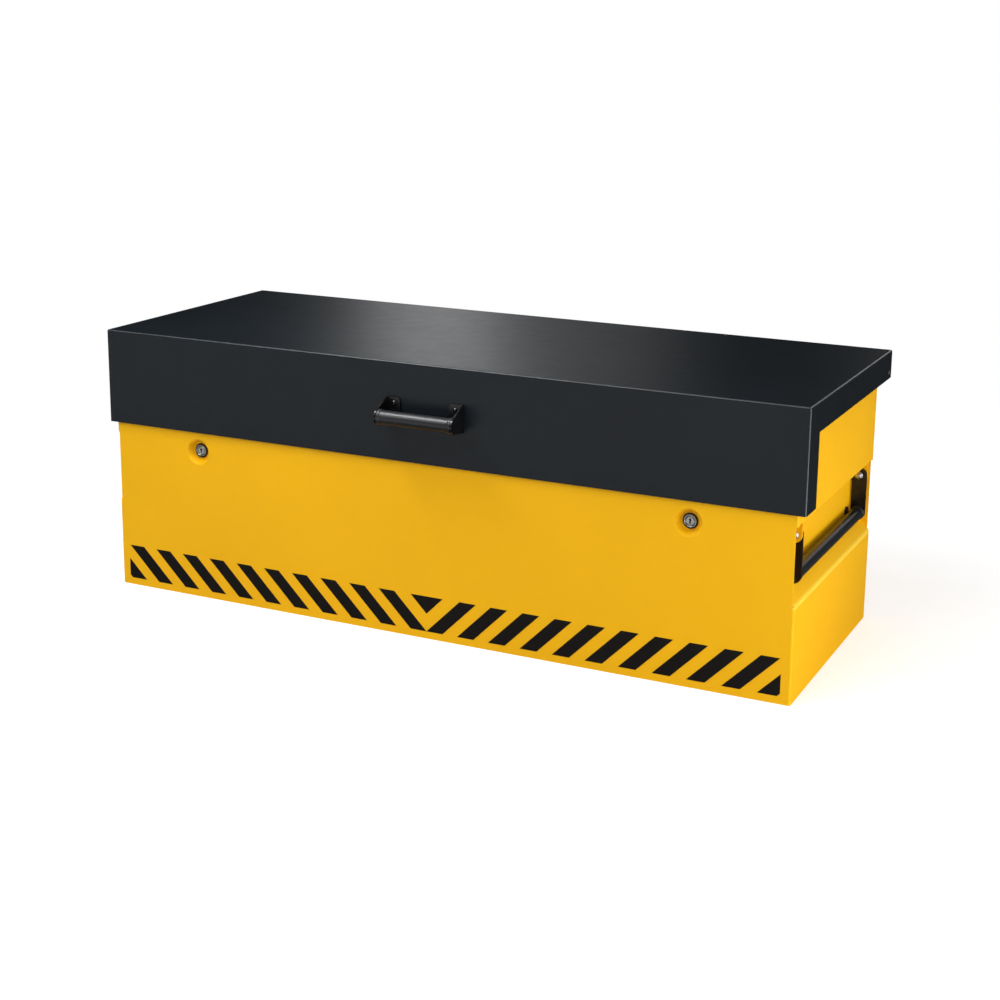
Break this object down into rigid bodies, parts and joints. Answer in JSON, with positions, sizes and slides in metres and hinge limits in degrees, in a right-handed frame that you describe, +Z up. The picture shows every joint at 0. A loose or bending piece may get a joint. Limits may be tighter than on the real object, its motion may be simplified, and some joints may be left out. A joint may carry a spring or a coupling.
{
  "type": "jobsite storage box",
  "caption": "Sheet-steel tool chest with an overhanging hinged lid, pull handle, key locks with hooks, gas struts, and a recessed drop handle at each end.",
  "frame": {"origin": "the middle of the floor's underside, half way between the outer faces of the front and back walls", "axes": "+X along the box towards its right-hand end seen from the front, +Y from the front to the hinge side, +Z up"},
  "size_m": [1.335, 0.563, 0.49],
  "materials": {
    "body_yellow": "semi-gloss powder coat",
    "lid_black": "satin powder coat",
    "gloss_black": "gloss paint",
    "grip_black": "satin moulded sleeve",
    "rubber": "matt",
    "zinc": "zinc plated",
    "lock_chrome": "polished plate",
    "nylon": "plain"
  },
  "bodies": {
    "box": {"back_panel": "body_yellow", "bail_pivot_bolts": "zinc", "bail_pivot_nuts": "zinc", "base_pan": "body_yellow", "end_panel_left": "body_yellow", "end_panel_right": "body_yellow", "front_panel": "body_yellow", "handle_bumpers": "rubber", "handle_ears_left": "body_yellow", "handle_ears_right": "body_yellow", "hinge_bolts": "zinc", "hinge_bracket_left": "zinc", "hinge_bracket_middle": "zinc", "hinge_bracket_right": "zinc", "lock_case_left": "zinc", "lock_case_right": "zinc", "lock_cylinder_left": "lock_chrome", "lock_cylinder_right": "lock_chrome", "lock_gaskets": "gloss_black", "lock_nuts": "zinc", "lock_pivots": "zinc", "rim_channel": "body_yellow", "rim_seal": "rubber", "strut_foot_left": "zinc", "strut_foot_right": "zinc"},
    "lid": {"hinge_bushes": "nylon", "hinge_clips": "zinc", "hinge_lug_left": "zinc", "hinge_lug_middle": "zinc", "hinge_lug_right": "zinc", "hinge_rod": "zinc", "lid_rib_back": "lid_black", "lid_rib_front": "lid_black", "lid_shell": "lid_black", "pull_bar": "gloss_black", "pull_bracket_left": "gloss_black", "pull_bracket_right": "gloss_black", "pull_grip": "grip_black", "pull_rivets": "zinc", "striker_left": "lid_black", "striker_right": "lid_black", "strut_lid_bracket_left": "zinc", "strut_lid_bracket_right": "zinc"},
    "bail_left": {"bail_frame_left": "gloss_black", "bail_grip_left": "grip_black"},
    "plug_left": {"lock_plug_left": "lock_chrome", "lock_cam_left": "zinc"},
    "lever_left": {"lock_lever_left": "zinc"},
    "strut_tube_left": {"strut_cylinder_left": "gloss_black"},
    "strut_rod_left": {"strut_rod_left": "lock_chrome"},
    "bail_right": {"bail_frame_right": "gloss_black", "bail_grip_right": "grip_black"},
    "plug_right": {"lock_plug_right": "lock_chrome", "lock_cam_right": "zinc"},
    "lever_right": {"lock_lever_right": "zinc"},
    "strut_tube_right": {"strut_cylinder_right": "gloss_black"},
    "strut_rod_right": {"strut_rod_right": "lock_chrome"}
  },
  "joints": [
    {"name": "lid_hinge", "type": "hinge", "parent": "box", "child": "lid", "pos_m": [0, 0.262, 0.451], "axis": [-1, 0, 0], "range_deg": [0, 75]},
    {"name": "bail_swing_right", "type": "hinge", "parent": "box", "child": "bail_right", "pos_m": [0.6405, 0, 0.275], "axis": [0, -1, 0], "range_deg": [0, 110]},
    {"name": "key_turn_right", "type": "hinge", "parent": "box", "child": "plug_right", "pos_m": [0.474, -0.221, 0.279], "axis": [0, 1, 0], "range_deg": [0, 90]},
    {"name": "hook_swing_right", "type": "hinge", "parent": "box", "child": "lever_right", "pos_m": [0.474, -0.18457, 0.341], "axis": [0, -1, 0], "range_deg": [0, 14.68]},
    {"name": "strut_swing_right", "type": "hinge", "parent": "box", "child": "strut_tube_right", "pos_m": [0.603, 0.112, 0.226], "axis": [-1, 0, 0], "range_deg": [0, 18.24]},
    {"name": "strut_slide_right", "type": "slide", "parent": "strut_tube_right", "child": "strut_rod_right", "axis": [0, 0, 1], "range_m": [0, 0.156]},
    {"name": "bail_swing_left", "type": "hinge", "parent": "box", "child": "bail_left", "pos_m": [-0.6405, 0, 0.275], "axis": [0, 1, 0], "range_deg": [0, 110]},
    {"name": "key_turn_left", "type": "hinge", "parent": "box", "child": "plug_left", "pos_m": [-0.474, -0.221, 0.279], "axis": [0, -1, 0], "range_deg": [0, 90]},
    {"name": "hook_swing_left", "type": "hinge", "parent": "box", "child": "lever_left", "pos_m": [-0.474, -0.18457, 0.341], "axis": [0, 1, 0], "range_deg": [0, 14.68]},
    {"name": "strut_swing_left", "type": "hinge", "parent": "box", "child": "strut_tube_left", "pos_m": [-0.603, 0.112, 0.226], "axis": [-1, 0, 0], "range_deg": [0, 18.24]},
    {"name": "strut_slide_left", "type": "slide", "parent": "strut_tube_left", "child": "strut_rod_left", "axis": [0, 0, 1], "range_m": [0, 0.156]}
  ],
  "couplings": [
    {"joint": "hook_swing_right", "follows": "key_turn_right", "ratio": 0.16301},
    {"joint": "strut_swing_right", "follows": "lid_hinge", "ratio": 0.24291},
    {"joint": "strut_slide_right", "follows": "lid_hinge", "m_per_rad": 0.11893},
    {"joint": "hook_swing_left", "follows": "key_turn_left", "ratio": 0.16301},
    {"joint": "strut_swing_left", "follows": "lid_hinge", "ratio": 0.24291},
    {"joint": "strut_slide_left", "follows": "lid_hinge", "m_per_rad": 0.11893}
  ]
}
